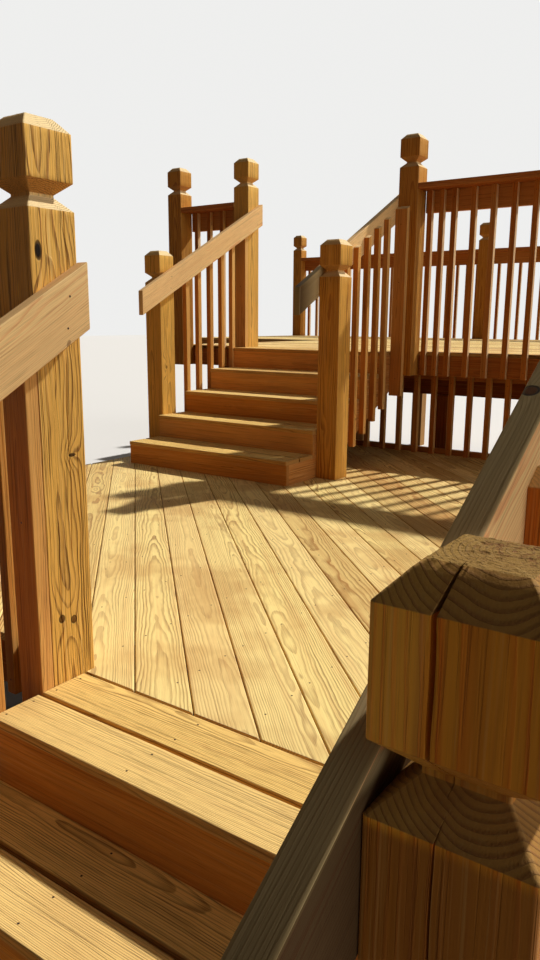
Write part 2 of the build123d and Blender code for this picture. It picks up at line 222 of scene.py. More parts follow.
class Tree:
    """The log that a timber was sawn from: where its pith runs beside the timber, and the timber's tone."""

    def __init__(self, draw, pith, tilt):
        self.pith = np.array(pith, float)
        self.tilt = draw.uniform(-tilt, tilt, 2)
        self.shift = draw.uniform(0, 60)
        self.tone = np.array([draw.uniform(-1, 1), draw.uniform(-1, 1), draw.uniform(0, 1)])

    def place(self, side, face, along):
        """Log coordinates: distances from the pith across both ways, and the way along the trunk."""
        side, face, along = np.broadcast_arrays(side, face, along)
        return np.stack([side - self.pith[0] - self.tilt[0] * along,
                         face - self.pith[1] - self.tilt[1] * along, along + self.shift], axis=-1)


def straight_sawn(draw):
    """Boards from the side of the heart, whose wide faces show nearly straight lines."""
    return Tree(draw, [draw.uniform(0.045, 0.09) * draw.choice([-1, 1]), -draw.uniform(0.02, 0.06)], 0.008)


def boxed_heart(draw):
    """Posts are sawn round the heart, so the pith runs inside them."""
    return Tree(draw, draw.uniform(-0.03, 0.03, 2), 0.008)


def flat_sawn(draw):
    """Boards are sawn beside the heart, so their wide faces show arches."""
    return Tree(draw, [draw.uniform(-0.05, 0.05), -draw.uniform(0.015, 0.11)], 0.014)


def edge_sawn(draw):
    """Sticks come from the outer log, where the rings run nearly straight."""
    return Tree(draw, draw.uniform(0.04, 0.10, 2) * draw.choice([-1, 1], 2), 0.006)


def drawing(name):
    """A random generator of its own for every piece, so that one piece's draws never shift another's."""
    return np.random.default_rng([SEED, *name.encode()])


# Pieces


def put_in_scene(name, data):
    """A new object for a mesh, a lamp or a camera."""
    holder = bpy.data.objects.new(name, data)
    bpy.context.scene.collection.objects.link(holder)
    return holder


def show_mesh(name, mesh, material, crease):
    """A piece of the frame's one body, shaded smooth except where its faces meet at more than the crease."""
    mesh.polygons.foreach_set("use_smooth", np.ones(len(mesh.polygons), bool))
    mesh.set_sharp_from_angle(angle=math.radians(crease))
    mesh.materials.append(material)
    piece = put_in_scene(name, mesh)
    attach(piece, "root")
    return piece


def ring_faces(rows, columns):
    """Sides between neighbouring rows of points, each row a closed ring, and the first and last ring."""
    i, k = np.meshgrid(np.arange(rows - 1), np.arange(columns), indexing="ij")
    after = (k + 1) % columns
    quads = np.stack([i * columns + k, i * columns + after, (i + 1) * columns + after,
                      (i + 1) * columns + k], axis=-1).reshape(-1, 4)
    ring = np.arange(columns)
    return quads, [ring[::-1], ring + (rows - 1) * columns]


class Piece:
    """One shown object: the timbers of a CAD node, gathered before they are put into a mesh."""

    def __init__(self, node):
        self.node, self.draw = node, drawing(node)
        self.points, self.quads, self.ends = [], [], []
        self.attributes = {"log": [], "stick": [], "cut": [], "worn": []}
        self.count = 0

    def add_tube(self, place, log, tone, cut, worn):
        """A closed surface through rows of points, each row a closed outline, with both ends capped.

        The faces are turned round if the volume they enclose comes out negative."""
        shape = place.shape[:2]
        quads, ends = ring_faces(*shape)
        flat = place.reshape(-1, 3)
        fans = [np.stack([np.full(shape[1] - 2, end[0]), end[1:-1], end[2:]], 1) for end in ends]
        shell = np.concatenate([quads[:, [0, 1, 2]], quads[:, [0, 2, 3]], *fans])
        a, b, c = (flat[shell[:, column]] - flat[0] for column in range(3))
        if (np.cross(a, b) * c).sum() < 0:
            quads, ends = quads[:, ::-1], [end[::-1] for end in ends]
        self.points.append(flat)
        self.quads.append(quads + self.count)
        self.ends += [(end + self.count).tolist() for end in ends]
        self.attributes["log"].append(log.reshape(-1, 3))
        self.attributes["stick"].append(np.broadcast_to(tone, (len(flat), 3)))
        self.attributes["cut"].append(np.broadcast_to(cut[:, None], shape).ravel())
        self.attributes["worn"].append(np.broadcast_to(worn, shape).ravel())
        self.count += len(flat)

    def finish(self, finish, slot):
        """Puts the gathered timbers into one mesh that rides on the frame and stands for its CAD node."""
        name = self.node + "_sawn"
        mesh = bpy.data.meshes.new(name)
        mesh.from_pydata(np.concatenate(self.points).tolist(), [],
                         np.concatenate(self.quads).tolist() + self.ends)
        for attribute, rows in self.attributes.items():
            values = np.concatenate(rows).astype(np.float32)
            kind, field = ("FLOAT_VECTOR", "vector") if values.ndim == 2 else ("FLOAT", "value")
            mesh.attributes.new(attribute, kind, "POINT").data.foreach_set(field, values.ravel())
        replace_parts(show_mesh(name, mesh, finishes[finish], TIMBER_CREASE), self.node)


# Timbers

STICK_STATIONS = 3
BOARD_STATIONS = 2


def add_stick(piece, part, axes, tree, radius=STICK_ARRIS, bow=0.0):
    """A straight timber: the ruled surface between its two cut ends, P = (1 - t) start + t end.

    Start and end are rounded outlines laid on the four corners of each end; a slight bow of 4 t (1 - t)
    times its height bends the timber sideways."""
    corner = stick_corners(part[0], axes)
    width = np.linalg.norm(corner[0, 1, 0] - corner[0, 0, 0])
    depth = np.linalg.norm(corner[0, 0, 1] - corner[0, 0, 0])
    run = corner[1].mean(axis=(0, 1)) - corner[0].mean(axis=(0, 1))
    length = np.linalg.norm(run)
    outline, worn = squared_outline(width, depth, radius)
    share, offset, inset, cut = eased_ends(STICK_STATIONS)
    s = 0.5 + outline[None, :, 0] * (1 - 2 * inset[:, None] / width) / width
    t = 0.5 + outline[None, :, 1] * (1 - 2 * inset[:, None] / depth) / depth

    def end(k):
        u, v = s[..., None], t[..., None]
        return ((1 - u) * ((1 - v) * corner[k, 0, 0] + v * corner[k, 0, 1])
                + u * ((1 - v) * corner[k, 1, 0] + v * corner[k, 1, 1]))

    way = share[:, None, None]
    lean = piece.draw.uniform(-bow, bow, 2)
    arch = 4 * way * (1 - way) * (lean[0] * axes[1] + lean[1] * axes[2])
    place = (1 - way) * end(0) + way * end(1) + offset[:, None, None] * run / length + arch
    log = tree.place((s - 0.5) * width, (t - 0.5) * depth, (share * length + offset)[:, None])
    piece.add_tube(place, log, tree.tone, cut, worn)


def add_board(piece, part, along, across, tree):
    """A flat board whose ends follow the solid's own outline: at each place across it the surface runs
    between the lowest and the highest reach of the solid."""
    points, triangles = part
    away, level = points @ across, points[:, 2]
    low, high, bottom, top = away.min(), away.max(), level.min(), level.max()
    middle, width, depth = (low + high) / 2, high - low, top - bottom
    limit = width / 2 - BOARD_ARRIS - 2 * SUPPORT
    breaks = np.unique(away.round(4)) - middle
    breaks = np.unique(np.concatenate([breaks - CORNER_GAP, breaks + CORNER_GAP]))
    outline, worn = squared_outline(width, depth, BOARD_ARRIS, wide=breaks[np.abs(breaks) < limit])
    inside = np.clip(outline[:, 0] + middle, low + CORNER_GAP, high - CORNER_GAP)
    start, stop = reach_at(points, triangles, along, across, inside)
    share, offset, inset, cut = eased_ends(BOARD_STATIONS)
    share, offset, inset = share[:, None], offset[:, None], inset[:, None]
    run = start + (stop - start) * share + offset
    side = outline[:, 0] * (1 - 2 * inset / width)
    face = outline[:, 1] * (1 - 2 * inset / depth)
    place = (run[..., None] * along + (side + middle)[..., None] * across
             + (face + (top + bottom) / 2)[..., None] * Z_AXIS)
    piece.add_tube(place, tree.place(side, face, run), tree.tone, cut, worn)


def add_sawtooth(piece, part, tree):
    """A notched stringer: a squared outline carried along Y, stretched at each place between the lower
    and the upper edge of the solid."""
    points, triangles = part
    front, back = extents(points)
    turns = np.unique(points[:, 1].round(4))
    stations = np.unique(np.concatenate([turns - CORNER_GAP, turns + CORNER_GAP]))
    stations = stations[(stations > front[1]) & (stations < back[1])]
    low, high = reach_at(points, triangles, Z_AXIS, Y_AXIS, stations)
    depth = (high - low).max()
    outline, worn = squared_outline(back[0] - front[0], depth, STICK_ARRIS)
    level = (0.5 + outline[None, :, 1] / depth) * (high - low)[:, None] + low[:, None]
    across, along = np.broadcast_arrays(outline[None, :, 0], stations[:, None])
    place = np.stack([across + (front[0] + back[0]) / 2, along, level], axis=-1)
    cut = np.zeros(len(stations))
    piece.add_tube(place, tree.place(across, level - low.mean(), along), tree.tone, cut, worn)


# Drying cracks: how far they taper at foot and head, and how far beside them the face strays with them
FOOT_TAPER = 0.08
HEAD_TAPER = 0.06
STRAY_REACH = 0.022


class Check:
    """A drying crack in one face of a post, from bottom to top; its line runs from place to place_top."""

    def __init__(self, face, bottom, top, place, place_top=None, width=0.002, depth=0.008, stray=0.001):
        self.face, self.bottom, self.top = face, bottom, top
        self.place, self.place_top = place, place if place_top is None else place_top
        self.width, self.depth, self.stray = width, depth, stray

    def lines(self):
        """Places across the face where the outline needs points so that the crack is crisp."""
        beside = np.array([0.18, 0.5, 1.2, 3.0])
        return self.place + self.width * np.concatenate([-beside[::-1], beside])

    def pull(self, across, height):
        """How deep the face is drawn in: steep sides, with a depth and a width that taper to both ends."""
        foot = np.clip((height - self.bottom) / FOOT_TAPER, 0, 1)
        reach = np.sqrt(foot * np.clip((self.top - height) / HEAD_TAPER, 0, 1))
        width = self.width * 0.36 * np.maximum(reach, 0.35)
        return self.depth * reach * np.clip(1.4 - np.abs(across - self.place) / width, 0, 1)

    def shift(self, across, height):
        """How far the crack's line strays sideways on its way up, fading out beside it."""
        share = np.clip((height - self.bottom) / (self.top - self.bottom), 0, 1)
        lean = (self.place_top - self.place) * share
        near = np.clip(1 - np.abs(across - self.place) / STRAY_REACH, 0, 1)
        waver = np.sin(height * 19.0 + self.place * 70) + 0.5 * np.sin(height * 47.0)
        return near * (lean + self.stray * waver)


FACES = {"right": (X_AXIS, Y_AXIS), "back": (Y_AXIS, -X_AXIS), "left": (-X_AXIS, -Y_AXIS),
         "front": (-Y_AXIS, X_AXIS)}


def random_checks(draw, height):
    """Two or three fine cracks for a post of the given height, each on a face of its own."""
    checks = []
    for face in draw.permutation(list(FACES))[:draw.integers(2, 4)]:
        low = draw.uniform(0.05, 0.5 * height)
        high = low + draw.uniform(0.25, 0.5) * height
        place, width = draw.uniform(-0.04, 0.04), draw.uniform(0.0015, 0.003)
        checks.append(Check(str(face), low, min(high, height), place, width=width, depth=0.006))
    return checks


def newel_stations(bottom, top, near):
    """Heights up a newel, how far its faces stand in there, and where the saw has cut across the grain."""
    block_top = top - TOP_CHAMFER_HEIGHT
    block_bottom = block_top - BLOCK_HEIGHT
    neck_top = block_bottom - UNDER_HEIGHT
    neck_bottom = neck_top - NECK_HEIGHT
    shaft_top = neck_bottom - LOWER_HEIGHT
    corners = [(bottom, END_ARRIS), (bottom + END_ARRIS, 0.0), (shaft_top, 0.0), (neck_bottom, GROOVE_DEPTH),
               (neck_top, GROOVE_DEPTH), (block_bottom, 0.0), (block_top, 0.0), (top, TOP_CHAMFER_INSET),
               (top, POST / 2 - SUPPORT)]
    sawn_runs = [1, 0, 1, 0.5, 0.35, 0, 1, 2 if near else 1]
    head_step = NEAR_STEP if near else PLAIN_HEAD_STEP
    height, inset, cut = [], [], []
    for (z0, d0), (z1, d1), sawn in zip(corners, corners[1:], sawn_runs):
        run = math.hypot(z1 - z0, d1 - d0)
        step = head_step if near or sawn else PLAIN_STEP
        step = NEAR_TOP_STEP if near and z1 == z0 else step
        share = np.linspace(0, 1, max(2, int(run / step) + 1) + 1)
        tight = min(0.3, SUPPORT / 3 / run)
        share = np.unique(np.concatenate([[tight], share[1:-1], [1 - tight]]))
        height += list(z0 + (z1 - z0) * share)
        inset += list(d0 + (d1 - d0) * share)
        cut += [sawn] * len(share)
    return np.array(height), np.array(inset), np.array(cut, float)


def ragged(x, y):
    """Uneven height of a weathered sawn end: waves of many directions and lengths, folded into ridges."""
    draw = np.random.default_rng(SEED)
    total = np.zeros(np.broadcast(x, y).shape)
    for length in RAGGED_WAVES:
        heading, phase = draw.uniform(0, math.pi), draw.uniform(0, 6)
        wave = np.sin((x * math.cos(heading) + y * math.sin(heading)) * 2 * math.pi / length + phase)
        total = total + length / RAGGED_WAVES[0] * np.abs(wave)
    return total / 5


def add_newel(piece, part, tree, checks, weathering=None):
    """A square post: its outline shrinks towards the middle by the inset at each height, so that
    P = centre + outline (1 - 2 inset / width), then every check draws its face in.

    A newel near the camera is given how rough its weathered top is, and has more points."""
    near = weathering is not None
    low, high = extents(part[0])
    centre = (low + high) / 2
    even = np.linspace(-1, 1, 24)[1:-1] * (POST / 2 - POST_ARRIS - SUPPORT) if near else np.zeros(0)
    rows = {"wide": [even], "deep": [even]}
    for check in checks:
        rows["deep" if check.face in ("right", "left") else "wide"].append(check.lines())
    rows = {way: np.unique(np.concatenate(places).round(5)) for way, places in rows.items()}
    outline, worn = squared_outline(POST, POST, POST_ARRIS, wide=rows["wide"], deep=rows["deep"])
    height, inset, cut = newel_stations(low[2], high[2], near)
    height, scale = height[:, None], (1 - 2 * inset / POST)[:, None]
    side, face = outline[:, 0] * scale, outline[:, 1] * scale
    place = np.stack([side, face, np.broadcast_to(height, side.shape)], axis=-1)
    for check in checks:
        outward, along = FACES[check.face]
        on_face = (outline @ outward[:2]) > POST / 2 - 1e-5
        across = (outline @ along[:2])[None, :]
        level = height - low[2]
        pull = check.pull(across, level) * on_face * (inset < POST / 2 - 0.012)[:, None]
        sideways = check.shift(across, level) * on_face * scale
        place = place - pull[..., None] * outward + sideways[..., None] * along
    if near:
        top = ((inset > TOP_CHAMFER_INSET - 0.002) & (height[:, 0] > high[2] - 0.004))[:, None]
        place[..., 2] -= weathering * ragged(place[..., 0], place[..., 1]) * top
    log = tree.place(side, face, height)
    place[..., :2] += centre[:2]
    piece.add_tube(place, log, tree.tone, cut, worn)


# Materials


def linear(red, green, blue):
    """A colour given as 0 to 255 on screen, as the shader wants it."""
    share = np.array([red, green, blue]) / 255
    return (*np.where(share <= 0.04045, share / 12.92, ((share + 0.055) / 1.055) ** 2.4), 1.0)


class Value:
    """A shader value; Python arithmetic on it adds Math nodes."""

    def __init__(self, shading, socket):
        self.shading, self.socket = shading, socket

    def math(self, operation, *others):
        return self.shading.node("ShaderNodeMath", {"operation": operation},
                                 dict(enumerate((self, *others))))

    def __add__(self, other):
        return self.math("ADD", other)

    def __sub__(self, other):
        return self.math("SUBTRACT", other)

    def __rsub__(self, other):
        return self.shading.node("ShaderNodeMath", {"operation": "SUBTRACT"}, {0: other, 1: self})

    def __mul__(self, other):
        return self.math("MULTIPLY", other)

    def __truediv__(self, other):
        return self.math("DIVIDE", other)

    def __pow__(self, other):
        return self.math("POWER", other)

    __radd__, __rmul__ = __add__, __mul__


class Shading:
    """The nodes of a material or a world under construction."""

    def __init__(self, tree):
        self.tree = tree

    def node(self, kind, settings=None, inputs=None, output=0):
        """Adds a node: its settings first, then the values or links of its sockets."""
        node = self.tree.nodes.new(kind)
        for name, setting in (settings or {}).items():
            setattr(node, name, setting)
        for socket, value in (inputs or {}).items():
            self.plug(node.inputs[socket], value)
        return Value(self, node.outputs[output])

    def plug(self, socket, value):
        """Links a value to a socket, or writes a plain number or colour there."""
        if isinstance(value, Value):
            self.tree.links.new(value.socket, socket)
        else:
            socket.default_value = value

    def pale_rays(self):
        """1 for the rays to which floor and surround look pale, 0 for the others."""
        rays = self.node("ShaderNodeLightPath").socket.node.outputs
        camera, glossy, through = (Value(self, rays[kind]) for kind in PALE_RAYS)
        return camera.math("MAXIMUM", glossy).math("MAXIMUM", through)


class Finish(Shading):
    """A material under construction."""

    def __init__(self, name):
        self.material = bpy.data.materials.new(name)
        self.material.use_nodes = True
        super().__init__(self.material.node_tree)
        self.shader = self.tree.nodes["Principled BSDF"]

    def set(self, socket, value):
        self.plug(self.shader.inputs[socket], value)

    def attribute(self, name, output="Vector"):
        return self.node("ShaderNodeAttribute", {"attribute_name": name}, output=output)

    def stretch(self, vector, *factors):
        return self.node("ShaderNodeVectorMath", {"operation": "MULTIPLY"}, {0: vector, 1: factors})

    def offset(self, vector, origin):
        return self.node("ShaderNodeVectorMath", {"operation": "SUBTRACT"}, {0: vector, 1: origin})

    def distance(self, vector, flat=1.0):
        """How long a vector is, with its part along the grain shortened."""
        return self.node("ShaderNodeVectorMath", {"operation": "LENGTH"},
                         {0: self.stretch(vector, 1.0, 1.0, flat)}, "Value")

    def noise(self, vector, detail=2.0, roughness=0.5, output="Fac"):
        return self.node("ShaderNodeTexNoise", {}, {"Vector": vector, "Scale": 1.0, "Detail": detail,
                                                    "Roughness": roughness}, output)

    def split(self, vector):
        parts = self.node("ShaderNodeSeparateXYZ", {}, {0: vector})
        return [Value(self, part) for part in parts.socket.node.outputs]

    def between(self, value, low, high):
        """0 below low, 1 above high and smooth between them."""
        return self.node("ShaderNodeMapRange", {"interpolation_type": "SMOOTHSTEP"},
                         {"Value": value, 1: low, 2: high})

    def mix(self, factor, first, second, blend="MIX"):
        return self.node("ShaderNodeMix", {"data_type": "RGBA", "blend_type": blend},
                         {0: factor, 6: first, 7: second}, 2)

    def coats(self, colour, *layers):
        """Lays coats over a colour one after another, each given as its share and its colour on screen."""
        for share, coat in layers:
            colour = self.mix(share, colour, linear(*coat))
        return colour


# What all the pine shares.  Patterns run along the log: cells or waves to the metre in its three ways
KNOT_CELLS = (7.0, 7.0, 2.4)
WANDER = (5.0, 5.0, 0.9)
SWAY = (17.0, 17.0, 7.5)
FIBRES = (520.0, 520.0, 9.0)
STREAKS = (46.0, 46.0, 1.3)
BLOTCHES = (2.6, 2.6, 2.6)
CRUMBS = (150.0, 150.0, 60.0)
FISSURES_ALONG = 2.2
KNOT_RADIUS = 0.003
KNOT_SPREAD = 0.009
SHEEN = 0.06
# Tint of the painted shade on faces turned towards -Y and down
PAINTED_SHADE_TINT = (0.66, 0.46, 0.36, 1)
AGED_LINE_TINT = (0.55, 0.50, 0.42, 1)
# Weathered grey, with a dark end that paints shade and shadow on the handrails
AGED_PALE, AGED_DARK_AND_SHADE = linear(204, 182, 134), linear(44, 21, 9)

# Colours on screen
TAN_STREAK, REDDISH_AND_SHADE = (176, 92, 34), (190, 90, 30)
FIBRE_BROWN, OPENED_GRAIN, RAISED_FIBRE = (104, 62, 24), (66, 36, 14), (255, 220, 146)
PALE_STICK_AND_LIGHT, DARK_STICK_AND_SHADE, TAN_PATCH_AND_DAPPLE = (248, 220, 154), (166, 106, 48), (200, 146, 78)
# Painted light on faces towards +X
PAINTED_LIGHT_SIDE = (255, 228, 184)
KNOT_CORE, KNOT_BARK, KNOT_HOLE = (104, 52, 18), (34, 17, 7), (16, 9, 5)
END_RING, WEATHERED_END, CRUMBLED_PITH = (62, 44, 22), (130, 104, 52), (104, 54, 24)
WEATHER_GREY, WORN_ARRIS = (134, 112, 84), (240, 204, 136)


def pine(name, early, late, ring=0.0045, contrast=0.8, thin=0.3, grey=0.0, relief=0.0006, knots=0.35,
         rough=0.4, stain=0.3, sway=0.006, vary=0.3, grain=0.35, fissure=150.0, clouds=0.0, front=0.85,
         side=0.0, end=(254, 232, 182), end_rings=0.15, marks=()):
    """Sawn pine read from the log attribute: the ring number is the distance from the pith over the ring
    width, strayed by slow noise and pushed outwards round each knot; latewood darkens the last part of a
    ring.

    early and late are the colours of early and late wood on screen, ring the ring width, thin how late in
    the ring its dark part starts, rough how far the weather has opened the grain, stain how far reddish and
    brown streaks run along it, sway how far the rings wobble, vary how far the tone differs from stick to
    stick, grain how dark the fibres are, fissure how closely the opened grain lies, clouds how strongly tan
    patches, partly a painted dappled shade, show, front how far painted shade darkens the faces towards -Y
    and down, side how far painted light pales those towards +X, end the colour of sawn ends, end_rings how
    strongly rings show on them, and marks are knots at given places: (x, y, z, radius, flattening along
    the stick, how dark)."""
    wood = Finish(name)
    log = wood.attribute("log")
    tone, red, age_and_shade = wood.split(wood.attribute("stick"))
    cut = wood.attribute("cut", "Fac")
    worn = wood.attribute("worn", "Fac")
    place = wood.node("ShaderNodeTexCoord", {}, {}, "Object")

    # Scattered knots: a point in each cell, long along the grain, and a share of the points grown into knots
    cell_place = wood.stretch(log, *KNOT_CELLS)
    scatter = wood.node("ShaderNodeTexVoronoi", {}, {"Vector": cell_place, "Scale": 1.0}, "Position")
    lottery, knot_size, knot_hue = wood.split(Value(wood, scatter.socket.node.outputs["Color"]))
    from_knot = wood.stretch(wood.offset(scatter, cell_place), *(1 / cell for cell in KNOT_CELLS))
    grown = wood.between(lottery, 1 - knots, 1 - knots + 0.02)
    size = KNOT_RADIUS + KNOT_SPREAD * knot_size
    knot = wood.distance(from_knot) / size
    flow = wood.distance(from_knot, 0.35) / size
    push = (flow * flow * -0.16).math("EXPONENT") * grown
    core = (1 - wood.between(knot, 0.75, 1.0)) * grown
    bark = wood.between(knot, 0.80, 0.98) * (1 - wood.between(knot, 1.0, 1.15)) * grown

    # Knots at given places
    hole = 0.0
    for x, y, z, radius, flat, dark in marks:
        from_mark = wood.offset(place, (x, y, z))
        away = wood.distance(from_mark, flat) / radius
        wide = wood.distance(from_mark, flat * 0.4) / radius
        push = push + (wide * wide * -0.14).math("EXPONENT") * 0.5
        core = core + (1 - wood.between(away, 0.6, 1.0))
        bark = bark + wood.between(away, 0.55, 0.85) * (1 - wood.between(away, 0.95, 1.15))
        hole = hole + (1 - wood.between(away, 0.60, 0.95)) * dark

    # Rings
    stray_x, stray_y, stray_r = wood.split(wood.noise(wood.stretch(log, *WANDER), output="Color"))
    sway_x, sway_y, sway_r = wood.split(wood.noise(wood.stretch(log, *SWAY), output="Color"))
    x, y = wood.split(log)[:2]
    x = x + (stray_x - 0.5) * 0.05 + (sway_x - 0.5) * sway
    y = y + (stray_y - 0.5) * 0.05 + (sway_y - 0.5) * sway
    years = (x * x + y * y) ** 0.5 / ring + (stray_r - 0.5) * 4.0 + (sway_r - 0.5) * 0.8 + push * 3.2
    season = years.math("FRACT")
    this_year = wood.node("ShaderNodeTexWhiteNoise", {"noise_dimensions": "1D"},
                          {"W": years.math("FLOOR") + 0.37}, "Value")
    latewood = wood.between(season, thin, 0.9) * (1 - wood.between(season, 0.94, 1.0))

    # Fibres, opened grain and stains along it
    fibre = wood.noise(wood.stretch(log, *FIBRES), 3.0, 0.6)
    latewood = latewood * (0.4 + 0.6 * this_year) * (0.2 + 1.6 * fibre)
    streak = wood.noise(wood.stretch(log, *STREAKS), 3.0, 0.6)
    vein = wood.noise(wood.stretch(log, fissure, fissure, FISSURES_ALONG), 3.0, 0.55)
    blotch = wood.noise(wood.stretch(place, *BLOTCHES), 3.0, 0.6)
    opened = wood.between(vein + 0.08 * latewood, 0.59, 0.68) * (1 - cut).math("MAXIMUM", 0.0)
    banding = latewood * contrast * (0.72 + 0.28 * red.math("ABSOLUTE"))
    colour = wood.coats(
        linear(*early),
        (banding, late),
        (wood.between(streak, 0.44, 0.72) * stain, TAN_STREAK),
        (wood.between(fibre, 0.46, 0.74) * grain, FIBRE_BROWN),
        # Stick tones: random on most pieces, painted shade (darker, redder) and painted light (paler) on
        # some
        (wood.between(red, 0.0, 1.0) * stain * 0.6, REDDISH_AND_SHADE),
        (wood.between(tone, -0.2, 1.0) * vary, PALE_STICK_AND_LIGHT),
        ((1 - wood.between(tone, -1.0, 0.0)) * vary, DARK_STICK_AND_SHADE),
        # Tan patches, partly real colour and partly a painted dappled shade
        (wood.between(blotch, 0.46, 0.66) * clouds, TAN_PATCH_AND_DAPPLE),
        (opened * rough, OPENED_GRAIN),
        ((1 - wood.between(vein, 0.34, 0.46)) * rough * 0.5, RAISED_FIBRE))

    # Painted shade darkens faces towards -Y and down, painted light may pale those towards +X, and the third
    # stick tone turns sticks weathered grey and, as painted shade, dark to black
    facing_x, facing_y, facing_z = wood.split(wood.node("ShaderNodeTexCoord", {}, {}, "Normal"))
    turned = wood.between(facing_y * -1.0, 0.3, 0.9)
    turned = turned.math("MAXIMUM", wood.between(facing_z * -1.0, 0.1, 0.5)) * front
    colour = wood.mix(turned, colour, PAINTED_SHADE_TINT, "MULTIPLY")
    colour = wood.coats(colour, (wood.between(facing_x, 0.3, 0.9) * side, PAINTED_LIGHT_SIDE))
    # Grey of weathering, darkened towards black where the handrails carry painted shade and shadow
    aged_and_shaded = wood.mix(wood.between(age_and_shade, 1.1, 2.0), AGED_PALE, AGED_DARK_AND_SHADE)
    lined = wood.between(streak + 0.4 * latewood, 0.45, 0.85) * 0.5
    aged_and_shaded = wood.mix(lined, aged_and_shaded, AGED_LINE_TINT, "MULTIPLY")
    colour = wood.mix(wood.between(age_and_shade, 0.95, 1.1) * 0.92, colour, aged_and_shaded)

    # Knots, sawn ends, weather and wear
    colour = wood.coats(
        colour,
        ((core * (0.55 + 0.4 * knot_hue)).math("MINIMUM", 1.0), KNOT_CORE),
        ((bark * (0.5 + 0.5 * knot_hue)).math("MINIMUM", 1.0), KNOT_BARK))
    if marks:
        colour = wood.coats(colour, (hole.math("MINIMUM", 1.0), KNOT_HOLE))
    sawn = cut.math("MINIMUM", 1.0)
    crumbs = wood.between(wood.noise(wood.stretch(log, *CRUMBS), 4.0, 0.7), 0.46, 0.66)
    crumbs = crumbs * wood.between(cut, 1.2, 1.8)
    weather = wood.between(blotch + 0.3 * (fibre - 0.5), 0.42, 0.72)
    weather = weather * (0.4 + 0.6 * age_and_shade.math("MINIMUM", 1.0))
    colour = wood.coats(
        colour,
        # Sawn ends show their pale colour only where no painted shade darkens the face
        (sawn * 0.75 * (1 - turned), end),
        (sawn * wood.between(season, 0.35, 0.9) * end_rings, END_RING),
        (wood.between(cut, 1.0, 1.6) * 0.65, WEATHERED_END),
        (crumbs * (1 - wood.between(years, 3.0, 10.0)) * 0.8, CRUMBLED_PITH),
        (weather * (grey + 0.14), WEATHER_GREY),
        (worn * 0.08, WORN_ARRIS))

    wood.set("Base Color", colour)
    wood.set("Roughness", 0.62 - 0.10 * latewood + 0.16 * (fibre - 0.5) + 0.1 * sawn)
    wood.set("Specular IOR Level", SHEEN)
    raised = latewood * 0.6 + fibre * 0.4 - opened * (0.4 + rough) - core * 0.3 - bark * 0.6 - crumbs * 0.7
    wood.set("Normal", wood.node("ShaderNodeBump", {}, {"Distance": relief, "Height": raised}))
    return wood.material


def steel(name):
    """Weathered galvanised screw heads."""
    metal = Finish(name)
    place = metal.node("ShaderNodeTexCoord", {}, {}, "Object")
    dull = metal.noise(metal.stretch(place, 300.0, 300.0, 300.0))
    metal.set("Base Color", metal.mix(dull, linear(44, 28, 16), linear(84, 60, 40)))
    metal.set("Roughness", 0.45 + 0.3 * dull)
    metal.set("Metallic", 0.75)
    return metal.material


# What each timber's pine has of its own
PINES = {
    "post": dict(early=(248, 194, 90), late=(164, 106, 42), relief=0.0010, knots=0.45, stain=0.25,
                 sway=0.003, front=0.7, vary=0.4),
    "near_left": dict(early=(246, 190, 90), late=(142, 76, 24), ring=0.0046, relief=0.0022, thin=0.55,
                      knots=0.0, rough=0.7, contrast=1.0, stain=0.1, sway=0.003, grain=0.5, fissure=290.0,
                      marks=((1.6925, -3.7665, 1.776, 0.010, 0.45, 1.0),
                             (1.6925, -3.7535, 0.849, 0.010, 0.9, 0.4),
                             (1.6925, -3.7145, 0.836, 0.010, 0.9, 0.2),
                             (1.6925, -3.6945, 1.277, 0.011, 2.4, 0.7))),
    "near_right": dict(early=(255, 178, 60), late=(252, 122, 32), ring=0.0052, relief=0.0008, thin=0.45,
                       knots=0.0, rough=0.25, stain=0.5, sway=0.002, vary=0.8, grain=0.2, fissure=220.0,
                       front=0.0, end=(132, 108, 66), end_rings=0.38),
    "board": dict(early=(255, 230, 152), late=(132, 82, 32), ring=0.0056, contrast=1.0, thin=0.35,
                  relief=0.0005, rough=0.12, stain=0.25, knots=0.3, sway=0.007, vary=0.4, grain=0.25,
                  clouds=0.4),
    "tread": dict(early=(255, 216, 130), late=(134, 84, 32), ring=0.0038, contrast=0.95, thin=0.4,
                  relief=0.0010, rough=0.25, stain=0.1, knots=0.2, sway=0.003, grain=0.55, clouds=0.2,
                  end=(150, 96, 46)),
    "riser": dict(early=(240, 164, 78), late=(190, 112, 44), ring=0.0080, contrast=0.6, relief=0.0004,
                  rough=0.25, stain=0.4, front=0.3, end=(150, 96, 46)),
    "rail": dict(early=(255, 218, 154), late=(240, 164, 110), ring=0.0044, contrast=0.85, thin=0.45,
                 relief=0.0005, rough=0.14, stain=0.1, sway=0.003, grain=0.3, vary=0.12, knots=0.7,
                 marks=((2.934, -4.026, 1.534, 0.011, 1.0, 0.3),)),
    "guard": dict(early=(222, 160, 96), late=(178, 106, 56), contrast=0.7, front=1.0),
    "picket": dict(early=(246, 186, 100), late=(194, 124, 56), contrast=0.7, stain=0.35, front=1.0),
    # Painted light pales the +X faces of the deck's pickets
    "guard_picket": dict(early=(230, 166, 84), late=(180, 110, 48), contrast=0.7, stain=0.35, front=1.0,
                         side=0.8),
    "framing": dict(early=(196, 124, 56), late=(134, 74, 26), contrast=0.7, grey=0.05),
}
finishes = {name: pine(name + "_pine", **own) for name, own in PINES.items()}
steel_finish = steel("screw_steel")


# Every node dressed

ALONG_X = (X_AXIS, Y_AXIS, Z_AXIS)
ALONG_Y = (Y_AXIS, X_AXIS, Z_AXIS)
UPRIGHT = (Z_AXIS, X_AXIS, Y_AXIS)
ON_EDGE = (X_AXIS, Z_AXIS, Y_AXIS)
ON_RAKE = (Y_AXIS, Z_AXIS, X_AXIS)


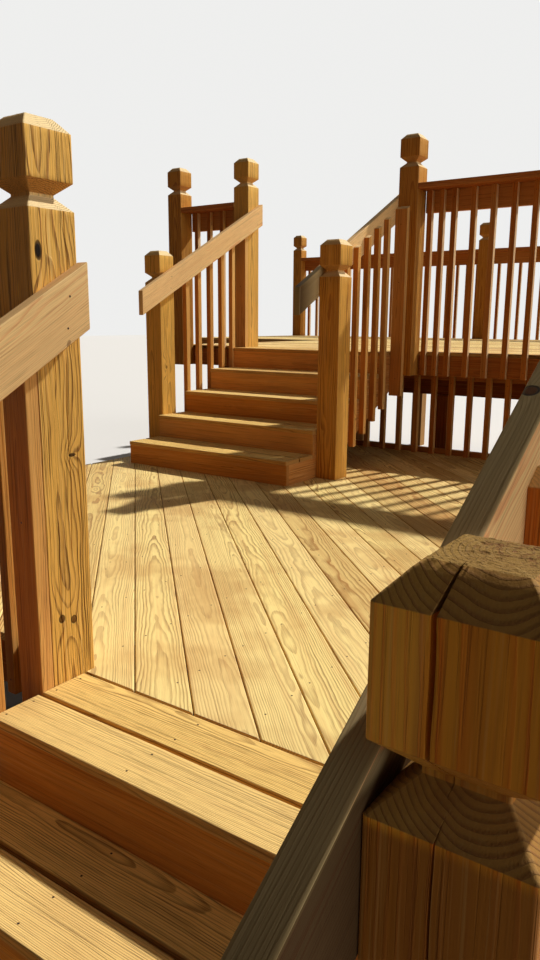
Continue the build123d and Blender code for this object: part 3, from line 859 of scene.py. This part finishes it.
def longest_axes(part):
    """A stick's own length, width and thickness axes from its extents."""
    return (ALONG_X, ALONG_Y, UPRIGHT)[int(np.argmax(np.ptp(part[0], axis=0)))]


def dress_sticks(node, finish, slot, tree=edge_sawn, axes=None, radius=STICK_ARRIS, bow=0.0):
    """Dresses each solid of a node as a straight timber."""
    piece = Piece(node)
    for part in solid_parts(node):
        add_stick(piece, part, axes or longest_axes(part), tree(piece.draw), radius, bow)
    piece.finish(finish, slot)


def dress_boards(node, finish, along, across, tree=flat_sawn):
    """Dresses each solid of a node as a flat board whose ends may be cut askew."""
    piece = Piece(node)
    for part in solid_parts(node):
        add_board(piece, part, along, across, tree(piece.draw))
    piece.finish(finish, "boards")


def dress_handrails(node, aged_and_shaded):
    """Dresses a flight's two handrails and gives the points of the right-hand one their own tones, which
    carry painted shade.
    """
    piece = Piece(node)
    middle = np.mean([corner[0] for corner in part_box(node)])
    for part in solid_parts(node):
        tree = edge_sawn(piece.draw)
        add_stick(piece, part, ON_RAKE, tree, RAIL_ARRIS)
        if part[0][:, 0].mean() > middle:
            piece.attributes["stick"][-1] = aged_and_shaded(part, piece.points[-1], tree)
    piece.finish("rail", "rails")


def dark_foot(part, points, tree):
    """The right-hand rail of the upper flight is dark over the last bit of its foot, as painted shadow where
    its newel shades it.
    """
    foot = points[:, 1] < part[0][:, 1].min() + 0.05
    return np.where(foot[:, None], (-1.0, 1.0, 1.9), tree.tone)


# How weathered and how shaded the greyed rail looks on its outer side and its top, at shares of the way down
# it:
# the dark lower part of its outer side is painted shadow, and the top's darkening towards the foot painted
# shade
PAINTED_SHADOW_OUTSIDE = ([0.0, 0.62, 0.74, 1.0], [0.5, 0.5, 6.0, 6.0])
GREY_AND_SHADE_TOP = ([0.0, 0.5, 1.0], [1.15, 1.35, 1.8])


def greyed(part, points, tree):
    """The right-hand rail of the lower flight has gone weathered grey on top; painted shade darkens it
    towards its foot, and painted shadow makes the lower part of its outer side dark."""
    side, level = points[:, 0], points[:, 2]
    down = (level.max() - level) / np.ptp(level)
    outside = side > side.max() - 0.2 * STICK_ARRIS
    age_and_shade = np.where(outside, np.interp(down, *PAINTED_SHADOW_OUTSIDE), np.interp(down, *GREY_AND_SHADE_TOP))
    return np.array([-1.0, -1.0, 0.0]) + age_and_shade[:, None] * Z_AXIS


for node in ("lower_tread_boards", "landing_nosing_boards", "upper_tread_boards"):
    dress_boards(node, "tread", X_AXIS, Y_AXIS, straight_sawn)
dress_boards("deck_boards", "board", X_AXIS, Y_AXIS)
dress_boards("landing_boards", "board", DIAGONAL, DIAGONAL_ACROSS)
for node in ("lower_riser_boards", "upper_riser_boards"):
    dress_sticks(node, "riser", "boards", flat_sawn, ON_EDGE)
dress_handrails("upper_handrails", dark_foot)
dress_handrails("lower_handrails", greyed)
for node in ("deck_guard_caps", "landing_guard_caps"):
    dress_sticks(node, "guard", "rails", flat_sawn, radius=CAP_ARRIS)
for node in ("deck_guard_rail_boards", "landing_guard_rail_boards"):
    dress_sticks(node, "guard", "rails", flat_sawn)
dress_sticks("newel_uprights", "picket", "rails", flat_sawn, UPRIGHT)

for node in sorted(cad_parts):
    if node.endswith("_pickets"):
        finish = "guard_picket" if node.startswith("deck_") else "picket"
        dress_sticks(node, finish, "pickets", edge_sawn, UPRIGHT, bow=PICKET_BOW)
    elif node.endswith(("_joists", "_beams", "_nailers")):
        dress_sticks(node, "framing", "framing", flat_sawn)
    elif node.endswith("_stringers"):
        piece = Piece(node)
        for part in solid_parts(node):
            add_sawtooth(piece, part, flat_sawn(piece.draw))
        piece.finish("framing", "framing")
dress_sticks("support_posts", "framing", "posts", boxed_heart, UPRIGHT, POST_ARRIS)

# The two newels nearest the camera: pith, tone, how rough the top is, and the checks, in levels above the
# foot; one has another tone to the right of its long crack, and a darker, redder one down its shaft as
# painted shade
NEAR_NEWELS = {
    "lower_right_bottom_newel": {
        "finish": "near_right", "pith": (0.012, 0.004), "tone": (0.0, 0.0, 0.2), "weathering": 0.0030,
        "split": (-0.0216, (-0.2, 1.0, 0.2)), "shaft_painted_shade": (-1.0, 1.0, 0.2),
        "checks": [Check("front", 1.262, 1.452, -0.0196, -0.0240, width=0.0042, depth=0.020, stray=0.0003),
                   Check("front", 0.85, 1.245, -0.014, -0.009, width=0.0024, depth=0.012, stray=0.001),
                   Check("right", 0.30, 1.20, 0.02, width=0.003, depth=0.010),
                   Check("back", 0.50, 1.10, -0.02, width=0.002, depth=0.008)]},
    "lower_left_top_newel": {
        "finish": "near_left", "pith": (-0.020, -0.010), "tone": (0.2, 0.1, 0.4), "weathering": 0.0015,
        "checks": [Check("right", 0.14, 0.62, -0.034, -0.030, width=0.0022, depth=0.007, stray=0.002),
                   Check("right", 0.50, 1.02, 0.012, 0.020, width=0.0020, depth=0.006, stray=0.002),
                   Check("right", 0.95, 1.37, -0.012, -0.020, width=0.0022, depth=0.006, stray=0.002),
                   Check("right", 0.22, 0.80, 0.043, 0.046, width=0.0016, depth=0.005, stray=0.001),
                   Check("right", 1.05, 1.38, 0.036, 0.030, width=0.0016, depth=0.005, stray=0.001),
                   Check("front", 0.20, 1.20, 0.02, width=0.0022, depth=0.008)]},
}

# Tones of the newels of the upper flight and of the deck's posts: the darker, redder ones on the right and
# on the deck's posts are painted shade, the paler ones on the left painted light
NEWEL_LIGHT_AND_SHADE_TONES = {"deck_guard_posts": (-1.0, 1.0, 0.3),
               "upper_left_bottom_newel": (0.1, 0.0, 0.1), "upper_left_top_newel": (0.3, 0.0, 0.1),
               "upper_right_bottom_newel": (-0.3, 1.0, 0.3), "upper_right_top_newel": (-1.0, 1.0, 0.3)}


def shade_newel(piece, centre, near):
    """Gives the newel's block another tone beside its long crack, and its shaft a darker, redder tone that
    is painted shade.
    """
    points, (split, beside) = piece.points[-1], near["split"]
    right = (points[:, 0] > centre + split)[:, None]
    shaft = (points[:, 2] < points[:, 2].max() - HEAD_HEIGHT - CORNER_GAP)[:, None]
    block = np.where(right, beside, near["tone"])
    piece.attributes["stick"][-1] = np.where(shaft, near["shaft_painted_shade"], block)


for node in sorted(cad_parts):
    if not node.endswith(("_newel", "_guard_posts")):
        continue
    piece, near = Piece(node), NEAR_NEWELS.get(node, {})
    for part in solid_parts(node):
        tree = boxed_heart(piece.draw)
        cracks = random_checks(piece.draw, np.ptp(part[0][:, 2]))
        tree.pith = np.array(near.get("pith", tree.pith))
        tree.tone = np.array(near.get("tone", NEWEL_LIGHT_AND_SHADE_TONES.get(node, tree.tone)))
        add_newel(piece, part, tree, near.get("checks", cracks), near.get("weathering"))
        if "split" in near:
            shade_newel(piece, part[0][:, 0].mean(), near)
    piece.finish(near.get("finish", "post"), "posts")


# Screws

SCREW_RADIUS = 0.0028
SCREW_SIDES = 8
SCREW_PROFILE = np.array([[1.0, -0.0008], [1.0, 0.0002], [0.72, 0.0006], [0.30, 0.0001]])
SCREW_CREASE = 50

# Where screws go: in from a board's edges and ends and from the timber's sides, and off a rail's middle
SCREW_INSET = 0.030
SCREW_STRAY = 0.003
BOARD_END = 0.012
TIMBER_SIDE = 0.008
RAIL_SCREW_RISE = 0.038


def screw_heads(name, places, outward, slot):
    """Shallow turned heads: the profile's radius and height swept round each place's outward axis.

    P = place + radius (cos u + sin v) + height n, with u and v square to the outward axis n."""
    places, outward = np.concatenate(places), np.concatenate(outward)
    across = np.roll(outward, 1, axis=1)
    third = np.cross(outward, across)
    angle = np.arange(SCREW_SIDES) * 2 * math.pi / SCREW_SIDES
    radius = SCREW_PROFILE[None, :, 0, None, None] * SCREW_RADIUS
    turn = np.cos(angle)[None, None, :, None] * across[:, None, None, :]
    turn = turn + np.sin(angle)[None, None, :, None] * third[:, None, None, :]
    height = SCREW_PROFILE[None, :, 1, None, None] * outward[:, None, None]
    points = places[:, None, None, :] + radius * turn + height
    quads, ends = ring_faces(len(SCREW_PROFILE), SCREW_SIDES)
    first = (np.arange(len(places)) * len(SCREW_PROFILE) * SCREW_SIDES)[:, None, None]
    sides, caps = (quads + first).reshape(-1, 4), (np.stack(ends) + first).reshape(-1, SCREW_SIDES)
    mesh = bpy.data.meshes.new(name)
    mesh.from_pydata(points.reshape(-1, 3).tolist(), [], sides.tolist() + caps.tolist())
    show_mesh(name, mesh, steel_finish, SCREW_CREASE)


def board_screws(board_nodes, timber_nodes, along, across, draw):
    """Two screws where each board crosses each timber below it, just inside the board's long edges."""
    middles, fronts, backs = [], [], []
    for node in timber_nodes:
        for points, _ in solid_parts(node):
            low, high = extents(points)
            middles.append((low[0] + high[0]) / 2)
            fronts.append(low[1])
            backs.append(high[1])
    middles, fronts, backs = np.array(middles), np.array(fronts), np.array(backs)
    places = []
    for node in board_nodes:
        for points, triangles in solid_parts(node):
            away = points @ across
            rows = np.array([away.min() + SCREW_INSET, away.max() - SCREW_INSET])
            if rows[1] - rows[0] < SCREW_INSET:
                continue
            start, stop = reach_at(points, triangles, along, across, rows)
            rows = rows[:, None] + draw.uniform(-SCREW_STRAY, SCREW_STRAY, (2, len(middles)))
            reach = (middles - rows * across[0]) / along[0]
            y = reach * along[1] + rows * across[1]
            held = ((reach > start[:, None] + BOARD_END) & (reach < stop[:, None] - BOARD_END)
                    & (y > fronts + TIMBER_SIDE) & (y < backs - TIMBER_SIDE))
            spots = reach[held][:, None] * along + rows[held][:, None] * across
            spots[:, 2] = points[:, 2].max()
            places.append(spots)
    return places, [np.broadcast_to(Z_AXIS, spots.shape) for spots in places]


def face_screws(node, outward, levels):
    """Screws up the middle of each stick's outward face, at levels from its top or, below 0, its foot."""
    places = []
    for points, _ in solid_parts(node):
        low, high = extents(points)
        spots = np.broadcast_to((low + high) / 2, (len(levels), 3)).copy()
        spots += outward * (np.abs(outward) @ (high - low)) / 2
        spots[:, 2] = [high[2] - level if level > 0 else low[2] - level for level in levels]
        places.append(spots)
    return places, [np.broadcast_to(outward, spots.shape) for spots in places]


def rail_screws(flight):
    """A pair of screws, one above the other, where each handrail crosses a newel, on the walking side."""
    parts = solid_parts(flight + "_handrails")
    middle = np.mean([points[:, 0].mean() for points, _ in parts])
    places, outward = [], []
    for points, triangles in parts:
        left = points[:, 0].mean() < middle
        face = points[:, 0].max() if left else points[:, 0].min()
        for node in sorted(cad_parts):
            if not (node.startswith(flight) and node.endswith("_newel")):
                continue
            low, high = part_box(node)
            if (low[0] + high[0]) / 2 < middle != left:
                continue
            y = np.array([(low[1] + high[1]) / 2])
            under, over = reach_at(points, triangles, Z_AXIS, Y_AXIS, y)
            if np.isfinite(under[0]):
                level = (under[0] + over[0]) / 2
                places.append(np.array([[face, y[0], level - RAIL_SCREW_RISE],
                                        [face, y[0] + 0.01, level + RAIL_SCREW_RISE]]))
                outward.append(np.array([X_AXIS if left else -X_AXIS] * 2))
    return places, outward


def gathered(*groups):
    """Joins the places and the outward axes of several groups of screws."""
    return [sum((list(group[i]) for group in groups), []) for i in (0, 1)]


screw_draw = drawing("screws")
screw_heads("deck_screws", *board_screws(
    ["deck_boards"], ["deck_joists"], X_AXIS, Y_AXIS, screw_draw), "boards")
screw_heads("landing_screws", *board_screws(
    ["landing_boards"], ["landing_joists"], DIAGONAL, DIAGONAL_ACROSS, screw_draw), "boards")
screw_heads("tread_screws", *gathered(
    board_screws(["lower_tread_boards", "landing_nosing_boards"], ["lower_stringers", "landing_joists"],
                 X_AXIS, Y_AXIS, screw_draw),
    board_screws(["upper_tread_boards"], ["upper_stringers"], X_AXIS, Y_AXIS, screw_draw)), "boards")
screw_heads("handrail_screws", *gathered(rail_screws("lower"), rail_screws("upper")), "rails")
picket_screws = []
for node in sorted(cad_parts):
    if node.endswith("_pickets"):
        side = -Y_AXIS if "front" in node or "bay" in node or "skirt" in node else Y_AXIS
        side = X_AXIS if "right" in node else -X_AXIS if "left" in node and "bay" not in node else side
        picket_screws.append(face_screws(node, side, [0.055, -0.045]))
picket_screws.append(face_screws("newel_uprights", -Y_AXIS, [0.12, 0.5, -0.12]))
screw_heads("picket_screws", *gathered(*picket_screws), "pickets")


# Stage


def plain_stage():
    """A pale floor that keeps the shadow, a pale surround, two soft lamps and an even sky."""
    mesh = bpy.data.meshes.new("studio_floor")
    corners = [(-1, -1), (1, -1), (1, 1), (-1, 1)]
    mesh.from_pydata([(x * FLOOR_HALF, y * FLOOR_HALF, 0) for x, y in corners], [], [(0, 1, 2, 3)])
    pale = Finish("studio_floor")
    pale.set("Base Color", pale.mix(pale.pale_rays(), DIM_FLOOR_COLOUR, FLOOR_COLOUR))
    pale.set("Roughness", 0.9)
    mesh.materials.append(pale.material)
    put_in_scene("studio_floor", mesh)

    world = bpy.data.worlds.new("studio")
    bpy.context.scene.world = world
    world.use_nodes = True
    air = Shading(world.node_tree)
    sky = world.node_tree.nodes["Background"]
    air.plug(sky.inputs["Color"], SKY_COLOUR)
    air.plug(sky.inputs["Strength"], SKY_STRENGTH)
    surround = air.node("ShaderNodeBackground", {}, {"Color": SURROUND_COLOUR})
    both = air.node("ShaderNodeMixShader", {},
                    {0: air.pale_rays(), 1: Value(air, sky.outputs[0]), 2: surround})
    air.plug(world.node_tree.nodes["World Output"].inputs[0], both)

    for name, lamp in LAMPS.items():
        shine(name, **lamp)


def turned(axis, degrees):
    """A turn about one of the world's axes."""
    return Matrix.Rotation(math.radians(degrees), 4, axis)


def shine(name, azimuth, elevation, strength, softness):
    """A distant lamp that shines from the given heading, counted from +X towards +Y, and height."""
    lamp = bpy.data.lights.new(name, "SUN")
    lamp.energy = strength
    lamp.angle = math.radians(softness)
    lamp.color = LAMP_COLOUR
    put_in_scene(name, lamp).matrix_world = turned("Z", azimuth) @ turned("Y", 90 - elevation)


def make_camera():
    """The photograph's camera: turned left of +Y by its yaw, tipped down by its pitch, then rolled."""
    lens = bpy.data.cameras.new("camera")
    lens.sensor_width = SENSOR
    lens.lens = FOCAL_PIXELS / FRAME_PIXELS * SENSOR
    lens.clip_start = NEAR_CLIP
    camera = put_in_scene("camera", lens)
    turn = turned("Z", CAMERA_YAW) @ turned("X", 90 - CAMERA_PITCH) @ turned("Z", -CAMERA_ROLL)
    camera.matrix_world = Matrix.Translation(CAMERA_PLACE) @ turn
    bpy.context.scene.camera = camera


plain_stage()
make_camera()
bpy.context.scene.view_settings.view_transform = "Standard"
